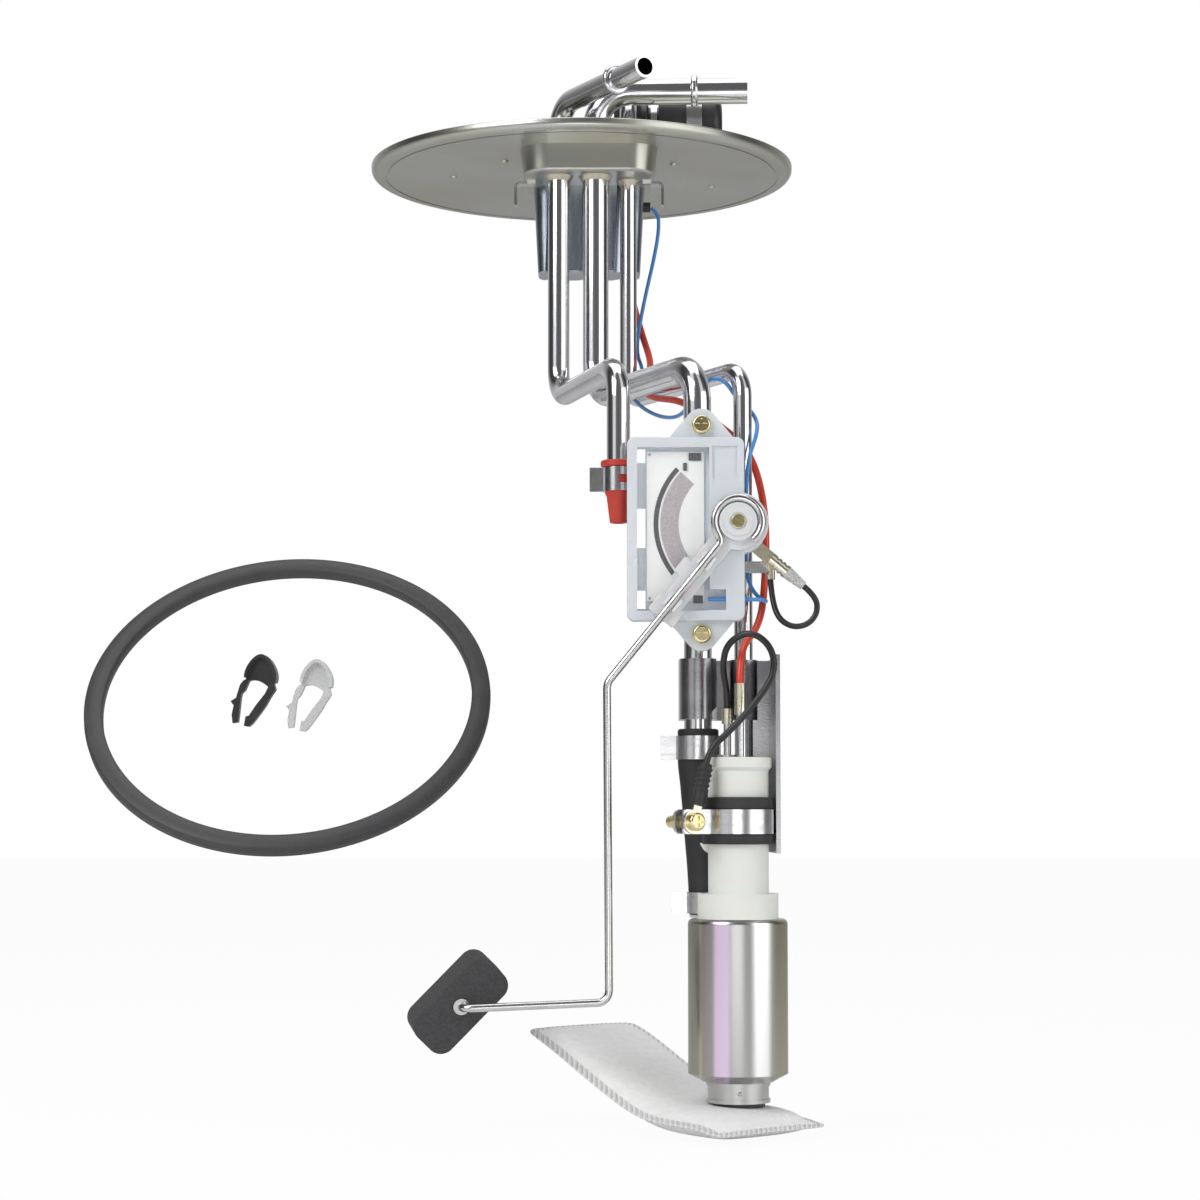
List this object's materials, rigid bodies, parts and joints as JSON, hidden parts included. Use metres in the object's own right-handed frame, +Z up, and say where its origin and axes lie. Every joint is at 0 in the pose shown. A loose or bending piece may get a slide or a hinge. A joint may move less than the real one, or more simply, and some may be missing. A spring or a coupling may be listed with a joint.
{
  "type": "fuel pump module",
  "caption": "Hanging in-tank fuel pump module: round plated lid, steel tubes, level sender with a float arm, bracketed electric pump, filter sock, and a loose lid seal and line clips.",
  "frame": {"origin": "centre of the round lid, on its underside, the face that the seal meets", "axes": "+Z up, out of the tank; -Y towards the side that the sender faces; X to the right seen from there"},
  "size_m": [0.2725, 0.2576, 0.3849],
  "materials": {
    "flange_plate": "zinc-plated pressed sheet with a faint olive tint",
    "braze_collars": "braze fillets under plating",
    "supply_tube": "bright plated steel tube",
    "return_tube": "bright plated steel tube",
    "vapour_tube": "bright plated steel tube",
    "connector_cup": "deep-drawn plated steel, blue-grey",
    "connector_insulator": "black moulded plastic",
    "connector_pins": "tinned brass blades",
    "lead_grommets": "black rubber",
    "wire_tabs": "folded plated sheet",
    "vent_valve_body": "black moulded plastic",
    "vent_valve_ring": "plated steel ring",
    "valve_strap": "plated steel strip",
    "vent_hose": "black rubber",
    "sender_plate": "plated steel sheet",
    "sender_housing": "translucent bluish white moulded plastic",
    "sender_screws": "yellow passivated steel",
    "resistor_card": "white ceramic card",
    "resistor_track": "speckled mauve-grey resistive ink",
    "card_contacts": "dark contact arc and beige pads",
    "pivot_pin": "brass rivet",
    "lever": "natural white moulded plastic",
    "float_arm": "bright spring-steel wire",
    "float": "charcoal closed-cell foam",
    "ground_terminal": "tinned brass",
    "terminal_sleeve": "clear braided sleeve",
    "return_check_valve": "red rubber",
    "check_valve_clamp": "plated steel band",
    "pump_bracket": "dark plated sheet",
    "outlet_hose": "matte black fuel hose",
    "hose_clamps": "bright steel band",
    "chamber_cap": "greenish white moulded plastic",
    "chamber_body": "greenish white moulded plastic",
    "isolator": "black rubber",
    "band_clamp": "plated steel band",
    "clamp_fastener": "plated screw and nut",
    "ground_eyelet": "tinned brass",
    "eyelet_boot": "black rubber",
    "pump_posts": "plated steel posts",
    "lead_terminals": "tinned brass crimps",
    "pump_end_cap": "greenish white moulded plastic",
    "check_ball": "polished steel ball",
    "check_spring": "spring wire",
    "pump_can": "satin grey drawn can",
    "inlet_collar": "satin grey collar",
    "magnets": "dark ferrite",
    "rotor": "laminated steel, copper windings and commutator",
    "bearings": "sintered bronze",
    "brushes": "carbon brushes with steel springs",
    "pump_plates": "machined aluminium plates",
    "impeller": "brown moulded plastic",
    "strainer_sock": "white welded felt",
    "sock_frame": "black moulded frame",
    "red_lead": "red insulation",
    "blue_lead": "blue insulation",
    "ground_lead": "black insulation",
    "jumper_lead": "black insulation",
    "seal_ring": "dark grey rubber",
    "black_clip": "black moulded plastic",
    "white_clip": "natural translucent plastic"
  },
  "bodies": {
    "module": {"flange_plate": "flange_plate", "braze_collars": "braze_collars", "supply_tube": "supply_tube", "return_tube": "return_tube", "vapour_tube": "vapour_tube", "connector_cup": "connector_cup", "connector_insulator": "connector_insulator", "connector_pins": "connector_pins", "lead_grommets": "lead_grommets", "wire_tabs": "wire_tabs", "vent_valve_body": "vent_valve_body", "vent_valve_ring": "vent_valve_ring", "valve_strap": "valve_strap", "vent_hose": "vent_hose", "sender_plate": "sender_plate", "sender_housing": "sender_housing", "sender_screws": "sender_screws", "resistor_card": "resistor_card", "resistor_track": "resistor_track", "card_contacts": "card_contacts", "pivot_pin": "pivot_pin", "ground_terminal": "ground_terminal", "terminal_sleeve": "terminal_sleeve", "return_check_valve": "return_check_valve", "check_valve_clamp": "check_valve_clamp", "pump_bracket": "pump_bracket", "outlet_hose": "outlet_hose", "hose_clamps": "hose_clamps", "chamber_cap": "chamber_cap", "chamber_body": "chamber_body", "isolator": "isolator", "band_clamp": "band_clamp", "clamp_fastener": "clamp_fastener", "ground_eyelet": "ground_eyelet", "eyelet_boot": "eyelet_boot", "pump_posts": "pump_posts", "lead_terminals": "lead_terminals", "pump_end_cap": "pump_end_cap", "check_spring": "check_spring", "pump_can": "pump_can", "inlet_collar": "inlet_collar", "magnets": "magnets", "bearings": "bearings", "brushes": "brushes", "pump_plates": "pump_plates", "strainer_sock": "strainer_sock", "sock_frame": "sock_frame", "red_lead": "red_lead", "blue_lead": "blue_lead", "ground_lead": "ground_lead", "jumper_lead": "jumper_lead", "seal_ring": "seal_ring", "black_clip": "black_clip", "white_clip": "white_clip"},
    "float_arm": {"float_arm": "float_arm", "lever": "lever"},
    "float": {"float": "float"},
    "rotor": {"rotor": "rotor", "impeller": "impeller"},
    "check_ball": {"check_ball": "check_ball"}
  },
  "joints": [
    {"name": "float_arm_pivot", "type": "hinge", "parent": "module", "child": "float_arm", "pos_m": [0.0534, -0.1375, -0.1486], "axis": [0, 1, 0], "range_deg": [0, 84]},
    {"name": "float_swivel", "type": "hinge", "parent": "float_arm", "child": "float", "pos_m": [-0.0383, -0.14015, -0.3106], "axis": [-0.1802, 0.9763, 0.1202], "continuous": true},
    {"name": "rotor_spin", "type": "hinge", "parent": "module", "child": "rotor", "pos_m": [0.0527, -0.141, -0.307], "axis": [0, 0, 1], "continuous": true},
    {"name": "check_ball_lift", "type": "slide", "parent": "module", "child": "check_ball", "axis": [0, 0, 1], "range_m": [0, 0.0016], "stiffness_N_per_m": 20, "springref_m": -0.003, "deforming": ["check_spring"]}
  ]
}
